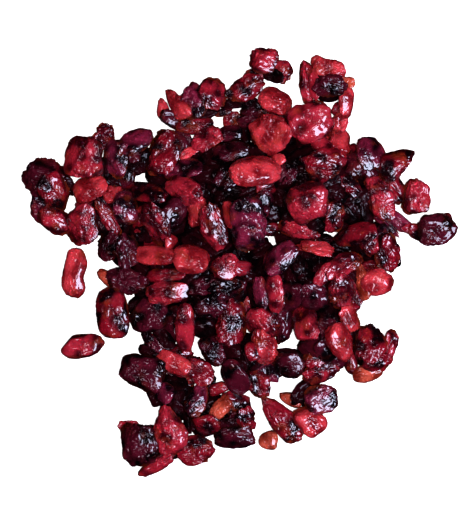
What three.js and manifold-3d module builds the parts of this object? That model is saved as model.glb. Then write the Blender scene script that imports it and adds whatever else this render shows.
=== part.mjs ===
// A loose heap of sweetened dried cranberries, as tipped out on a table, with three
// pieces lying apart beside it. Millimetres, +Z up, the table at z = 0, the origin
// under the middle of the whole, +Y away from whoever looks down on it.
import * as THREE from 'three';
import { mergeVertices } from 'three/addons/utils/BufferGeometryUtils.js';
import Module from 'manifold-3d';

const wasm = await Module();
wasm.setup();

// Driving dimensions. Thickness is a share of a berry's width: swollen berries stay
// nearly round, wrinkled ones have collapsed, and skins are flat.
const THICKNESS = {
  plump: 0.82, drop: 0.8, wrinkled: 0.74, tipped: 0.74, blocky: 0.74, folded: 0.72, dimple: 0.74, skin: 0.42,
  bean: 0.8, wedge: 0.62,
};
// How far the skin stands in and out of a smooth egg shape, as a share of its size.
const WRINKLE = {
  plump: 0.03, drop: 0.03, wrinkled: 0.09, tipped: 0.07, blocky: 0.05, folded: 0.05, dimple: 0.04, skin: 0.07,
  bean: 0.02, wedge: 0.03,
};
// Waves of the wrinkling, as radians over half a berry: lengthways, across, and up.
const WAVE = { along: 3.4, across: 3.1, up: 4.3, upDrift: 2.2, acrossFine: 4.9 };
// A crease along the top, how a drop widens, and the turned-up edge of an empty skin.
const FOLD = { depth: 0.34, halfWidth: 0.3 };
const DROP_TAPER = 0.42;
const SKIN_CURL = { lift: 0.45, level: 0.5 };
// The bean's narrow place, and the cut side and taper of the broken piece.
const BEAN_WAIST = { depth: 0.34, at: -0.18, halfWidth: 0.3 };
const WEDGE = { cutSide: 0.5, taper: 0.3 };
// A berry beds into what is under it until this share of its underside is bedded.
// Its underside is felt at its middle and on two rings, given as shares of its outline.
const BEDDED_SHARE = 0.45;
const FOOT_RINGS = [{ reach: 0.45, count: 6 }, { reach: 0.8, count: 10 }];
const STEEPEST = 0.5;
// Its own weight flattens the underside on the table by this share of its half height.
const FLOOR_FLAT = 0.14;
// The packed core stands this much higher than the ground the berries come down on.
const CORE_RISE = 2;
// Facets round and along a berry, by its length times its width up to a limit.
const FINENESS = [
  { limit: 48, sides: 6, rings: 4 },
  { limit: 90, sides: 7, rings: 5 },
  { limit: Infinity, sides: 8, rings: 6 },
];
const MOUND_FINENESS = { sides: 8, rings: 6 };
const APART_FINENESS = { sides: 16, rings: 12 };
// Seams between fused berries are closed up below this edge length. A face smaller
// than the sliver area may turn, and any other keeps this much of its facing.
const SHORTEST_EDGE = 1.25;
const SLIVER_AREA = 0.001;
const LEAST_MATCH = 0.5;
const TABLE = { across: 400, deep: 60 };
// The draws of one berry follow a fixed rule from its place in the list.
const DRAW = { modulus: 2147483647, multiplier: 16807, spread: 7919, offset: 104729 };

// The packed berries that the pieces lie on, as low mounds with flat undersides:
// x, y, radius in x, radius in y, height.
const MOUNDS = [
  [-2, 24, 19.5, 17.5, 8.5], [24, 26, 15.5, 17, 8.5], [22, -4, 18.5, 11.5, 8], [-14, -4, 21, 12.5, 7.5],
  [-13, -17, 12, 8, 6], [1.5, -30.5, 7.2, 7, 5.5], [-19.8, -44.8, 6.2, 5.6, 4.5], [-9, -49.5, 6.5, 5.5, 4],
  [30, -23, 7.5, 10, 5], [-44, 17, 9.5, 8.5, 4.5], [-35, 35, 7, 5, 4], [-27, 16, 9, 10, 6],
  [-38, 3, 5, 5, 3.5], [38, 21, 8, 9, 5], [44, 7, 7, 7, 4.5], [40, 31, 5, 5.5, 3.5],
  [7, 50, 5.5, 4.5, 3.5], [15, 45, 5, 6.5, 5], [30.5, 57.5, 5, 3.8, 3], [44, -30, 5.5, 6, 3.5],
  [10, -14, 7, 8, 5], [22, -34.5, 5, 3.6, 3],
];

// Every piece that shows: x, y, length, width, turn of its long axis from +X in
// degrees, layer (0 lies lowest) and the way it has dried.
const HEAP = [
  [-14.3, 53.6, 11.0, 10.0, 60, 1, 'wrinkled'], [-8.9, 56.3, 11.2, 9.3, 100, 2, 'wrinkled'],
  [-20.4, 52.9, 12.0, 5.8, 305, 2, 'drop'], [-25.2, 51.4, 7.4, 4.2, 280, 1, 'drop'],
  [-22.0, 47.7, 9.0, 4.8, 150, 1, 'folded'], [-14.5, 45.5, 12.0, 5.5, 0, 1, 'wrinkled'],
  [-10.5, 41.0, 10.5, 8.0, 20, 2, 'folded'], [-16.5, 36.3, 7.0, 4.0, 15, 2, 'skin'],
  [-24.9, 36.3, 15.8, 10.0, 72, 2, 'folded'], [-34.3, 40.3, 12.2, 8.0, 28, 2, 'plump'],
  [-34.0, 36.5, 7.5, 4.5, 60, 1, 'folded'], [-2.0, 48.0, 6.0, 5.5, 0, 0, 'skin'],
  [-3.0, 43.0, 8.5, 5.5, 10, 0, 'plump'], [-3.0, 36.5, 12.0, 6.0, 5, 1, 'tipped'],
  [8.8, 67.5, 9.3, 8.6, 0, 1, 'tipped'], [15.0, 63.9, 7.0, 6.2, 70, 0, 'wrinkled'],
  [2.7, 58.2, 12.8, 8.0, 25, 1, 'wrinkled'], [12.6, 53.6, 11.2, 8.6, 155, 1, 'plump'],
  [4.5, 51.8, 7.5, 4.5, 20, 1, 'folded'], [5.0, 47.5, 11.0, 5.0, 15, 1, 'folded'],
  [10.4, 43.0, 12.8, 12.2, 110, 2, 'wrinkled'], [24.0, 46.2, 14.2, 13.4, 27, 2, 'dimple'],
  [26.5, 50.8, 8.6, 6.5, 150, 1, 'folded'], [23.2, 61.2, 13.6, 5.4, 95, 1, 'folded'],
  [25.5, 58.8, 9.0, 3.5, 95, 2, 'skin'], [30.3, 64.4, 12.0, 7.2, 165, 1, 'wrinkled'],
  [31.0, 58.5, 11.0, 7.0, 0, 1, 'wrinkled'], [36.5, 60.2, 5.5, 4.0, 0, 0, 'skin'],
  [36.2, 53.2, 10.5, 5.2, 86, 1, 'plump'], [34.0, 46.3, 7.6, 5.6, 80, 1, 'wrinkled'],
  [33.9, 39.3, 10.5, 7.2, 92, 1, 'wrinkled'], [28.5, 38.3, 9.0, 6.0, 150, 0, 'plump'],
  [44.0, 36.6, 11.0, 9.8, 95, 1, 'tipped'], [53.0, 33.3, 14.0, 9.4, 213, 1, 'drop'],
  [28.5, 32.0, 14.5, 10.8, 12, 1, 'folded'], [39.5, 31.8, 9.0, 7.0, 90, 0, 'folded'],
  [45.0, 29.2, 7.5, 4.2, 155, 1, 'plump'], [47.8, 21.0, 15.5, 9.2, 118, 2, 'tipped'],
  [52.4, 25.0, 11.5, 6.4, 112, 0, 'folded'], [59.7, 22.0, 11.4, 8.8, 90, 1, 'blocky'],
  [66.1, 10.8, 12.8, 9.8, 12, 1, 'wrinkled'], [54.3, 13.4, 10.5, 5.0, 145, 0, 'folded'],
  [57.8, 11.3, 6.0, 3.2, 5, 0, 'skin'], [48.3, 10.0, 6.5, 4.0, 80, 1, 'tipped'],
  [43.5, 5.8, 7.5, 6.2, 90, 1, 'wrinkled'], [49.7, 3.4, 12.2, 8.4, 100, 2, 'folded'],
  [37.3, 25.4, 9.5, 5.2, 140, 1, 'wrinkled'], [39.0, 9.0, 14.0, 7.0, 15, 1, 'plump'],
  [33.5, 21.8, 6.0, 4.5, 140, 0, 'folded'], [31.8, 15.2, 9.6, 7.0, 85, 1, 'wrinkled'],
  [36.6, 15.5, 7.0, 4.0, 130, 0, 'plump'], [23.0, 19.7, 13.4, 12.4, 20, 2, 'plump'],
  [19.8, 10.5, 13.5, 5.5, 165, 2, 'folded'], [25.6, 4.8, 11.5, 4.8, 170, 1, 'folded'],
  [14.0, 1.5, 13.0, 8.2, 40, 2, 'tipped'], [5.8, 29.9, 16.5, 9.8, 5, 2, 'plump'],
  [-4.3, 27.5, 9.0, 7.5, 70, 1, 'folded'], [13.3, 34.2, 5.0, 4.2, 0, 1, 'plump'],
  [16.3, 29.3, 7.5, 6.2, 60, 1, 'skin'], [9.0, 24.5, 7.0, 4.5, 10, 0, 'folded'],
  [8.4, 19.0, 10.0, 6.0, 75, 1, 'plump'], [3.3, 12.0, 17.0, 11.5, 92, 2, 'blocky'],
  [-3.0, 15.5, 9.0, 3.8, 100, 2, 'plump'], [-66.6, 28.4, 12.2, 11.0, 45, 1, 'wrinkled'],
  [-60.2, 29.2, 8.3, 6.4, 130, 0, 'wrinkled'], [-61.2, 23.0, 12.0, 9.0, 110, 2, 'wrinkled'],
  [-66.1, 18.9, 10.4, 6.7, 80, 1, 'wrinkled'], [-61.4, 13.9, 11.4, 8.0, 145, 1, 'plump'],
  [-52.2, 12.6, 13.8, 10.6, 270, 1, 'tipped'], [-49.6, 24.6, 11.5, 8.4, 20, 2, 'plump'],
  [-51.4, 35.1, 13.2, 12.6, 85, 1, 'blocky'], [-56.8, 25.4, 6.5, 4.4, 120, 0, 'skin'],
  [-44.6, 42.0, 8.6, 6.2, 85, 1, 'wrinkled'], [-47.6, 41.2, 4.8, 3.4, 60, 0, 'skin'],
  [-40.9, 34.4, 12.5, 8.2, 88, 2, 'tipped'], [-36.8, 28.4, 8.0, 4.6, 60, 1, 'folded'],
  [-41.7, 22.5, 7.0, 5.8, 20, 2, 'wrinkled'], [-37.3, 17.8, 11.0, 8.3, 100, 2, 'plump'],
  [-42.8, 14.0, 14.0, 5.2, 120, 1, 'folded'], [-43.2, 5.9, 9.4, 7.8, 100, 1, 'wrinkled'],
  [-36.8, 3.5, 11.0, 7.2, 95, 1, 'folded'], [-32.8, 14.5, 9.5, 4.2, 75, 0, 'skin'],
  [-30.8, 23.3, 14.5, 6.6, 168, 1, 'plump'], [-27.0, 12.7, 13.0, 8.2, 115, 2, 'wrinkled'],
  [-17.6, 23.7, 12.5, 8.8, 160, 1, 'wrinkled'], [-13.6, 16.3, 10.0, 5.8, 80, 1, 'folded'],
  [-8.3, 11.0, 16.0, 8.2, 107, 2, 'wrinkled'], [-18.5, 31.0, 14.0, 7.0, 10, 0, 'folded'],
  [-27.0, 27.3, 10.0, 5.0, 145, 0, 'plump'], [-22.3, 6.6, 5.4, 4.4, 100, 2, 'plump'],
  [-27.5, 2.2, 14.3, 6.4, 177, 2, 'plump'], [-15.6, 0.8, 11.6, 9.4, 170, 2, 'plump'],
  [-21.5, 16.0, 10.0, 7.5, 60, 0, 'wrinkled'], [-51.3, 19.4, 6.5, 4.2, 20, 0, 'folded'],
  [-45.4, 30.8, 8.0, 5.0, 90, 0, 'folded'], [-43.3, -5.8, 9.3, 4.2, 140, 1, 'plump'],
  [-36.9, -6.3, 14.3, 8.4, 160, 1, 'wrinkled'], [-42.0, -17.0, 16.7, 10.5, 98, 1, 'plump'],
  [-29.8, -17.4, 13.2, 11.8, 18, 1, 'dimple'], [-23.7, -10.3, 13.8, 8.0, 8, 2, 'tipped'],
  [-24.0, -4.5, 13.0, 5.2, 8, 0, 'folded'], [-17.6, -22.0, 16.6, 6.5, 88, 2, 'plump'],
  [-3.8, -1.7, 9.0, 8.2, 30, 1, 'tipped'], [1.5, -2.0, 6.5, 5.2, 0, 2, 'plump'],
  [-2.8, -8.6, 12.5, 7.2, 15, 1, 'wrinkled'], [-11.3, -8.0, 11.0, 6.5, 10, 0, 'folded'],
  [-2.1, -20.6, 15.5, 10.0, 88, 2, 'wrinkled'], [8.1, -20.6, 12.0, 9.6, 140, 1, 'plump'],
  [9.2, -28.8, 13.5, 7.4, 108, 2, 'wrinkled'], [5.2, -29.6, 6.5, 5.8, 100, 0, 'plump'],
  [-8.3, -28.7, 12.0, 7.5, 130, 1, 'wrinkled'], [7.7, -10.3, 10.8, 5.2, 102, 1, 'tipped'],
  [12.3, -10.5, 12.3, 6.0, 98, 1, 'plump'], [-9.0, -14.3, 10.5, 7.5, 20, 0, 'wrinkled'],
  [-22.0, -20.5, 12.0, 6.5, 95, 0, 'folded'], [-26.8, -27.0, 9.0, 6.5, 150, 0, 'wrinkled'],
  [16.8, -34.6, 10.0, 8.4, 168, 1, 'tipped'], [17.4, -31.2, 9.5, 4.2, 175, 0, 'folded'],
  [10.8, -36.9, 8.0, 5.4, 150, 1, 'folded'], [7.0, -40.6, 10.4, 7.6, 130, 0, 'folded'],
  [-1.0, -38.4, 12.3, 8.0, 120, 0, 'plump'], [-13.4, -36.0, 10.5, 8.4, 135, 1, 'wrinkled'],
  [-21.5, -33.6, 11.5, 6.6, 155, 1, 'plump'], [-31.8, -37.0, 15.0, 11.4, 165, 1, 'blocky'],
  [-24.4, -43.6, 6.8, 6.0, 60, 1, 'plump'], [-27.7, -44.4, 8.6, 5.0, 120, 0, 'wrinkled'],
  [-13.5, -46.4, 11.0, 6.8, 68, 1, 'tipped'], [-6.5, -42.3, 7.0, 4.2, 20, 0, 'plump'],
  [-5.7, -48.6, 9.6, 5.4, 48, 2, 'plump'], [-0.5, -47.8, 11.6, 8.0, 150, 1, 'wrinkled'],
  [-1.6, -53.8, 10.4, 6.0, 20, 1, 'folded'], [2.7, -52.6, 8.2, 6.2, 110, 1, 'wrinkled'],
  [-0.8, -58.5, 13.2, 7.4, 5, 1, 'tipped'], [-11.0, -54.6, 9.4, 7.4, 10, 0, 'plump'],
  [-14.3, -62.8, 11.6, 9.8, 20, 1, 'wrinkled'], [-22.8, -56.0, 16.6, 10.8, 282, 2, 'drop'],
  [-20.8, -49.6, 8.0, 5.4, 125, 0, 'folded'], [-33.1, -60.7, 14.0, 11.6, 100, 1, 'wrinkled'],
  [-28.2, -59.5, 9.5, 5.4, 105, 0, 'plump'], [-36.8, -55.5, 6.8, 4.6, 5, 0, 'skin'],
  [-23.8, -64.2, 11.0, 5.4, 8, 0, 'folded'], [-27.6, -68.2, 13.4, 4.8, 33, 0, 'wrinkled'],
  [14.6, -52.7, 18.4, 8.2, 313, 1, 'drop'], [23.7, -53.1, 11.6, 8.6, 145, 1, 'plump'],
  [27.8, -45.9, 10.9, 9.3, 5, 1, 'tipped'], [17.8, -46.0, 8.0, 4.4, 152, 0, 'plump'],
  [21.4, -43.2, 9.5, 5.4, 40, 0, 'folded'], [27.6, -37.2, 12.5, 6.6, 15, 1, 'wrinkled'],
  [25.7, -32.3, 7.4, 6.0, 10, 0, 'wrinkled'], [33.8, -26.4, 12.8, 8.6, 112, 2, 'plump'],
  [37.6, -32.4, 10.6, 4.6, 98, 0, 'plump'], [37.3, -19.0, 9.0, 5.8, 115, 1, 'folded'],
  [44.4, -27.0, 11.0, 10.2, 60, 1, 'wrinkled'], [50.6, -29.0, 13.0, 5.0, 73, 1, 'folded'],
  [45.9, -33.0, 9.5, 6.2, 20, 2, 'folded'], [43.4, -37.4, 9.8, 6.0, 10, 0, 'plump'],
  [22.4, -20.4, 12.0, 8.2, 100, 1, 'plump'], [34.6, -10.2, 11.8, 9.4, 98, 2, 'wrinkled'],
  [28.4, -4.6, 10.0, 5.6, 50, 1, 'plump'], [35.3, -0.6, 13.5, 7.2, 25, 2, 'folded'],
  [41.6, -6.6, 12.4, 4.2, 103, 2, 'plump'], [46.7, -6.5, 10.8, 9.6, 172, 0, 'drop'],
  [24.0, -11.5, 12.0, 8.0, 165, 0, 'wrinkled'], [19.3, 0.0, 9.0, 5.0, 110, 0, 'folded'],
  [15.4, -21.2, 12.8, 6.4, 75, 0, 'folded'], [17.2, -11.0, 9.0, 7.5, 80, 0, 'wrinkled'],
  [24.2, -27.4, 8.2, 7.4, 60, 0, 'wrinkled'], [29.2, -22.6, 9.6, 7.0, 100, 0, 'folded'],
  [47.9, -35.5, 3.4, 2.9, 20, 0, 'plump'], [33.4, -32.4, 8.0, 6.0, 60, 0, 'wrinkled'],
  [29.4, -29.0, 8.5, 6.4, 120, 0, 'folded'], [37.8, -15.0, 6.0, 4.8, 30, 0, 'folded'],
  [-28.8, -30.4, 9.4, 5.0, 150, 0, 'folded'], [-21.0, -40.6, 9.0, 5.0, 170, 0, 'folded'],
  [6.4, 62.7, 9.4, 5.4, 20, 0, 'skin'], [11.8, 62.4, 7.4, 4.6, 150, 0, 'skin'],
  [60.4, 9.8, 6.6, 4.8, 150, 0, 'skin'], [38.4, 36.4, 6.4, 5.4, 60, 0, 'folded'],
  [-18.3, 39.8, 9.5, 6.0, 110, 0, 'folded'], [-12.5, 49.6, 11.0, 3.6, 3, 0, 'folded'],
  [-5.2, 50.4, 6.0, 3.0, 15, 0, 'folded'], [-41.8, 27.0, 7.0, 4.4, 150, 0, 'folded'],
  [-33.2, 8.3, 7.5, 4.6, 130, 0, 'folded'], [-15.2, 10.0, 7.6, 4.8, 160, 0, 'folded'],
  [29.3, 7.8, 7.0, 3.6, 170, 0, 'folded'], [44.3, -1.0, 6.0, 4.0, 10, 0, 'folded'],
  [50.0, 12.4, 11.0, 3.6, 137, 0, 'folded'], [40.3, -11.2, 6.0, 4.4, 100, 0, 'folded'],
  [-19.2, -29.6, 7.6, 4.2, 10, 0, 'folded'], [-20.0, -37.4, 13.0, 3.8, 152, 0, 'folded'],
  [-16.3, -53.6, 7.0, 4.0, 95, 0, 'folded'], [-24.4, -51.2, 6.0, 4.0, 100, 0, 'folded'],
  [-30.2, -24.8, 5.0, 4.0, 120, 0, 'folded'], [2.8, 42.4, 6.4, 3.8, 90, 0, 'folded'],
  [1.6, -15.4, 7.6, 5.0, 60, 0, 'folded'], [7.2, 3.8, 8.6, 5.0, 40, 0, 'folded'],
  [11.2, 10.8, 6.4, 4.6, 20, 0, 'folded'], [-24.6, -25.0, 9.5, 4.6, 130, 0, 'folded'],
  [-9.5, -31.2, 8.5, 4.2, 128, 0, 'folded'], [-10.0, -40.4, 6.0, 3.8, 20, 0, 'folded'],
  [0.8, 53.5, 12.6, 3.4, 5, 0, 'folded'], [33.2, 51.4, 5.0, 3.2, 70, 0, 'folded'],
  [34.2, 5.2, 7.0, 4.0, 165, 0, 'folded'], [19.5, 7.3, 6.0, 3.2, 170, 0, 'folded'],
  [38.8, -24.4, 6.0, 4.0, 80, 0, 'folded'], [30.3, 42.6, 4.6, 3.4, 90, 0, 'folded'],
  [-28.0, 6.0, 7.0, 4.0, 175, 0, 'folded'], [-32.4, -10.8, 4.6, 3.0, 20, 0, 'folded'],
  [35.0, 12.0, 5.0, 4.0, 0, 0, 'folded'], [-17.2, -31.3, 4.5, 3.2, 0, 0, 'folded'],
  [22.4, -47.2, 4.2, 3.2, 90, 0, 'folded'], [-35.0, -14.3, 6.0, 3.6, 60, 0, 'plump'],
];

// The pieces that lie apart, each a solid of its own.
const APART = {
  bean_berry: [-54.5, -3.6, 16.0, 8.2, 90, 0, 'bean'],
  oval_berry: [-51.9, -28.1, 14.4, 7.8, 9, 0, 'plump'],
  broken_piece: [11.2, -59.8, 6.4, 6.3, 104, 0, 'wedge'],
};

const COLOURS = { heap: '#5e1a20', bean_berry: '#8f1f28', oval_berry: '#86202c', broken_piece: '#9a3a20' };

function berry([x, y, length, width, turn, layer, kind]) {
  const angle = THREE.MathUtils.degToRad(turn);
  return {
    x, y, layer, kind, cos: Math.cos(angle), sin: Math.sin(angle),
    a: length / 2, b: width / 2, c: (width * THICKNESS[kind]) / 2, z: 0, slopeU: 0, slopeV: 0,
  };
}

function moundTop(x, y) {
  let top = 0;
  for (const [mx, my, rx, ry, height] of MOUNDS) {
    const share = ((x - mx) / rx) ** 2 + ((y - my) / ry) ** 2;
    if (share < 1) top = Math.max(top, height * Math.sqrt(1 - share));
  }
  return top;
}

// Height of what already lies at a point, the table included.
function topAt(x, y, placed) {
  let top = moundTop(x, y);
  for (const b of placed) {
    const u = (x - b.x) * b.cos + (y - b.y) * b.sin;
    const v = (y - b.y) * b.cos - (x - b.x) * b.sin;
    const share = (u / b.a) ** 2 + (v / b.b) ** 2;
    if (share < 1) top = Math.max(top, b.z + b.slopeU * u + b.slopeV * v + b.c * Math.sqrt(1 - share));
  }
  return top;
}

// A berry comes down level over its place, leans the way the ground under it leans,
// and stops when it is bedded. Its outline from above stays as it was.
function settle(b, placed) {
  const feet = [{ u: 0, v: 0, rise: 1 }];
  for (const { reach, count } of FOOT_RINGS) {
    for (let i = 0; i < count; i += 1) {
      const angle = (i / count) * 2 * Math.PI;
      feet.push({
        u: b.a * reach * Math.cos(angle), v: b.b * reach * Math.sin(angle),
        rise: Math.sqrt(1 - reach * reach),
      });
    }
  }
  let sumU = 0;
  let sumV = 0;
  let leanU = 0;
  let leanV = 0;
  for (const foot of feet) {
    foot.ground = topAt(b.x + foot.u * b.cos - foot.v * b.sin, b.y + foot.u * b.sin + foot.v * b.cos, placed);
    sumU += foot.u ** 2;
    sumV += foot.v ** 2;
    leanU += foot.u * foot.ground;
    leanV += foot.v * foot.ground;
  }
  b.slopeU = THREE.MathUtils.clamp(leanU / sumU, -STEEPEST, STEEPEST);
  b.slopeV = THREE.MathUtils.clamp(leanV / sumV, -STEEPEST, STEEPEST);
  const stops = feet.map((f) => f.ground - b.slopeU * f.u - b.slopeV * f.v + b.c * f.rise);
  stops.sort((first, second) => second - first);
  const reachDown = Math.hypot(b.c, b.a * b.slopeU, b.b * b.slopeV);
  const onTable = reachDown - FLOOR_FLAT * b.c;
  b.z = Math.max(stops[Math.floor(BEDDED_SHARE * stops.length)], onTable);
}

// Repeatable draws for one berry, all between 0 and 1.
function drawsFor(seed) {
  let state = (seed * DRAW.spread + DRAW.offset) % DRAW.modulus;
  return () => {
    state = (state * DRAW.multiplier) % DRAW.modulus;
    return state / DRAW.modulus;
  };
}

// Puts a point of the round blank where the dried skin is, lengthways along X.
function dry(point, kind, phase) {
  const coarse = Math.sin(WAVE.along * point.x + phase[0]) * Math.sin(WAVE.across * point.y + phase[1]);
  const fine = Math.sin(WAVE.up * point.z + WAVE.upDrift * point.x + phase[2])
    * Math.sin(WAVE.acrossFine * point.y + phase[3]);
  point.multiplyScalar(1 + WRINKLE[kind] * (coarse + fine));
  const upper = Math.max(point.z, 0);
  const { x, y } = point;
  if (kind === 'folded') point.z -= FOLD.depth * upper * bump(y / FOLD.halfWidth) * (1 - x * x);
  if (kind === 'drop') point.y *= 1 + DROP_TAPER * x;
  if (kind === 'skin') point.z += SKIN_CURL.lift * (x * x + y * y - SKIN_CURL.level);
  if (kind === 'bean' && y < 0) {
    point.y *= 1 - BEAN_WAIST.depth * bump((x - BEAN_WAIST.at) / BEAN_WAIST.halfWidth);
  }
  if (kind === 'wedge') point.y *= (y < 0 ? WEDGE.cutSide : 1) * (1 + WEDGE.taper * x);
}

function bump(distance) {
  return Math.exp(-(distance ** 2));
}

// A closed ball of few facets, grown until it holds what the round one would.
function roundBlank({ sides, rings }) {
  let blank = new THREE.SphereGeometry(1, sides, rings);
  blank.deleteAttribute('normal');
  blank.deleteAttribute('uv');
  blank = mergeVertices(blank).rotateZ(Math.PI / 2);
  const spots = pointsOf(blank);
  let volume = 0;
  for (const face of facesOf(blank)) volume += volumeUnder(face, spots);
  const growth = Math.cbrt((4 * Math.PI) / 3 / volume);
  return blank.scale(growth, growth, growth);
}

function berryGeometry(b, seed, fineness) {
  const blank = roundBlank(fineness);
  const draw = drawsFor(seed);
  const phase = [0, 1, 2, 3].map(() => 2 * Math.PI * draw());
  const spot = blank.attributes.position;
  const point = new THREE.Vector3();
  for (let i = 0; i < spot.count; i += 1) {
    point.fromBufferAttribute(spot, i);
    dry(point, b.kind, phase);
    const u = point.x * b.a;
    const v = point.y * b.b;
    const rise = point.z * b.c + b.slopeU * u + b.slopeV * v;
    spot.setXYZ(i, b.x + u * b.cos - v * b.sin, b.y + u * b.sin + v * b.cos, b.z + rise);
  }
  return blank;
}

function moundGeometry([x, y, rx, ry, height]) {
  return roundBlank(MOUND_FINENESS).scale(rx, ry, height + CORE_RISE).translate(x, y, 0);
}

function pointsOf(geometry) {
  const spot = geometry.attributes.position;
  return Array.from({ length: spot.count }, (_, i) => new THREE.Vector3().fromBufferAttribute(spot, i));
}

function facesOf(geometry) {
  const corner = geometry.index.array;
  return Array.from({ length: corner.length / 3 }, (_, i) => [...corner.slice(3 * i, 3 * i + 3)]);
}

function volumeUnder([a, b, c], spots) {
  return spots[a].dot(spots[b].clone().cross(spots[c])) / 6;
}

function skinOf(spots, faces) {
  const geometry = new THREE.BufferGeometry().setFromPoints(spots);
  geometry.setIndex(faces.flat());
  return geometry;
}

function solid(geometry) {
  const vertProperties = new Float32Array(geometry.attributes.position.array);
  const triVerts = new Uint32Array(geometry.index.array);
  return new wasm.Manifold(new wasm.Mesh({ numProp: 3, vertProperties, triVerts }));
}

function geometryOf(body) {
  const mesh = body.getMesh();
  const geometry = new THREE.BufferGeometry();
  geometry.setAttribute('position', new THREE.BufferAttribute(mesh.vertProperties.slice(), 3));
  geometry.setIndex(new THREE.BufferAttribute(mesh.triVerts.slice(), 1));
  return geometry;
}

// Everything below the table is cut away, which leaves the small flats to rest on.
function cutAtTable(body) {
  const block = new THREE.BoxGeometry(TABLE.across, TABLE.across, TABLE.deep);
  block.translate(0, 0, -TABLE.deep / 2);
  block.deleteAttribute('normal');
  block.deleteAttribute('uv');
  return body.subtract(solid(mergeVertices(block)));
}

// Keeps the one closed skin with the most in it: hollows that the fusing sealed are
// filled by this, and loose scraps are dropped.
function largestSkin(geometry) {
  const spots = pointsOf(geometry);
  const faces = facesOf(geometry);
  const parent = spots.map((_, i) => i);
  const find = (start) => {
    let root = start;
    while (parent[root] !== root) root = parent[root];
    for (let step = start; step !== root;) [step, parent[step]] = [parent[step], root];
    return root;
  };
  for (const [a, b, c] of faces) {
    parent[find(a)] = find(b);
    parent[find(b)] = find(c);
  }
  const volumes = new Map();
  for (const face of faces) {
    const root = find(face[0]);
    volumes.set(root, (volumes.get(root) ?? 0) + volumeUnder(face, spots));
  }
  const [kept] = [...volumes].sort((first, second) => second[1] - first[1])[0];
  return skinOf(spots, faces.filter((face) => find(face[0]) === kept));
}

// Fusing leaves slivers along the seams. Edges under the shortest length are closed
// up, shortest first, wherever no face turns over and the skin stays closed. A point
// on the table stays on it.
function closeShortEdges(geometry) {
  const spots = pointsOf(geometry);
  let faces = facesOf(geometry);
  const facing = ([a, b, c]) => spots[b].clone().sub(spots[a]).cross(spots[c].clone().sub(spots[a]));
  for (let closed = 1; closed > 0;) {
    closed = 0;
    const around = spots.map(() => []);
    faces.forEach((face, i) => face.forEach((corner) => around[corner].push(i)));
    const ringOf = (corner) => new Set(around[corner].flatMap((i) => faces[i]));
    const touched = new Set();
    for (const [from, to] of shortEdges(spots, faces)) {
      const ring = [...ringOf(from), ...ringOf(to)];
      const shared = [...ringOf(from)].filter((corner) => ringOf(to).has(corner));
      if (shared.length !== 4 || ring.some((corner) => touched.has(corner))) continue;
      const was = [spots[from].clone(), spots[to].clone()];
      const meeting = was[0].clone().add(was[1]).multiplyScalar(0.5);
      if (was[0].z === 0 && was[1].z !== 0) meeting.copy(was[0]);
      if (was[1].z === 0 && was[0].z !== 0) meeting.copy(was[1]);
      const moved = [...around[from], ...around[to]]
        .filter((i) => !(faces[i].includes(from) && faces[i].includes(to)));
      const before = moved.map((i) => facing(faces[i]));
      spots[from].copy(meeting);
      spots[to].copy(meeting);
      const turned = moved.some((i, k) => {
        const after = facing(faces[i]);
        const match = before[k].dot(after) / (before[k].length() * after.length());
        return before[k].length() > SLIVER_AREA && !(match > LEAST_MATCH);
      });
      if (turned) {
        spots[from].copy(was[0]);
        spots[to].copy(was[1]);
        continue;
      }
      for (const i of around[to]) faces[i] = faces[i].map((corner) => (corner === to ? from : corner));
      for (const corner of ring) touched.add(corner);
      closed += 1;
    }
    faces = faces.filter(([a, b, c]) => a !== b && b !== c && c !== a);
  }
  return skinOf(spots, faces);
}

function shortEdges(spots, faces) {
  const edges = [];
  for (const [a, b, c] of faces) {
    for (const [from, to] of [[a, b], [b, c], [c, a]]) {
      const length = spots[from].distanceTo(spots[to]);
      if (from < to && length < SHORTEST_EDGE) edges.push([from, to, length]);
    }
  }
  return edges.sort((first, second) => first[2] - second[2]);
}

function heapGeometry() {
  const berries = HEAP.map(berry);
  const placed = [];
  for (const layer of [0, 1, 2]) {
    for (const b of berries.filter((one) => one.layer === layer)) {
      settle(b, placed);
      placed.push(b);
    }
  }
  let body = solid(moundGeometry(MOUNDS[0]));
  for (const mound of MOUNDS.slice(1)) body = body.add(solid(moundGeometry(mound)));
  berries.forEach((b, i) => {
    const fineness = FINENESS.find(({ limit }) => 4 * b.a * b.b < limit);
    body = body.add(solid(berryGeometry(b, i, fineness)));
  });
  return closeShortEdges(largestSkin(geometryOf(cutAtTable(body))));
}

function apartGeometry(row, seed) {
  const b = berry(row);
  b.z = b.c * (1 - FLOOR_FLAT);
  return geometryOf(cutAtTable(solid(berryGeometry(b, seed, APART_FINENESS))));
}

function addPiece(group, name, geometry) {
  const material = new THREE.MeshStandardMaterial({ color: COLOURS[name], roughness: 0.28, metalness: 0 });
  const mesh = new THREE.Mesh(geometry, material);
  mesh.name = name;
  group.add(mesh);
}

const cranberries = new THREE.Group();
addPiece(cranberries, 'heap', heapGeometry());
Object.entries(APART).forEach(([name, row], i) => {
  addPiece(cranberries, name, apartGeometry(row, HEAP.length + i));
});

export default cranberries;
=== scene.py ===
# A loose heap of sweetened dried cranberries on a pale table, with a kidney-shaped
# berry, an oval berry and a small broken piece lying apart beside it. The frame is in
# metres; the berries' own sizes and places are in millimetres until they become mesh.
import math
import random
from types import SimpleNamespace

import bmesh
import bpy
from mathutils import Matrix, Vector, noise


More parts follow.
